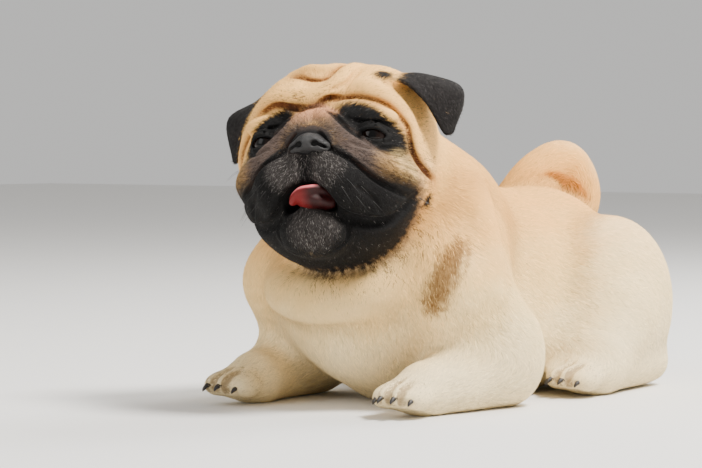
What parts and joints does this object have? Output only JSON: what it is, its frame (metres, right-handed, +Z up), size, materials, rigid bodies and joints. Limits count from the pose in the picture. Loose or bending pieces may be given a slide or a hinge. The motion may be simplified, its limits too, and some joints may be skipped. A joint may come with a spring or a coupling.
{
  "type": "pug",
  "caption": "A short-coated, flat-faced dog lying on its belly with its head raised, tongue tip showing and tail curled over its back.",
  "frame": {"origin": "middle of the bounding box's base, on the floor", "axes": "+Z up, the dog faces -Y, its own left side is +X"},
  "size_m": [0.2506, 0.4486, 0.2609],
  "materials": {
    "fawn_coat": "short fawn fur, cream below",
    "dark_coat": "short black fur",
    "nose_leather": "moist, pebbled nose leather",
    "tongue_skin": "wet pink tongue",
    "eye": "glossy dark brown eye"
  },
  "bodies": {
    "root": {"head": "fawn_coat", "muzzle": "dark_coat", "nose": "nose_leather", "tongue": "tongue_skin", "eye_left": "eye", "eye_right": "eye", "ear_left": "dark_coat", "ear_right": "dark_coat", "neck": "fawn_coat", "torso": "fawn_coat", "foreleg_left": "fawn_coat", "foreleg_right": "fawn_coat", "hindleg_left": "fawn_coat", "hindleg_right": "fawn_coat", "tail_root": "fawn_coat", "tail_tip": "fawn_coat"}
  },
  "joints": []
}
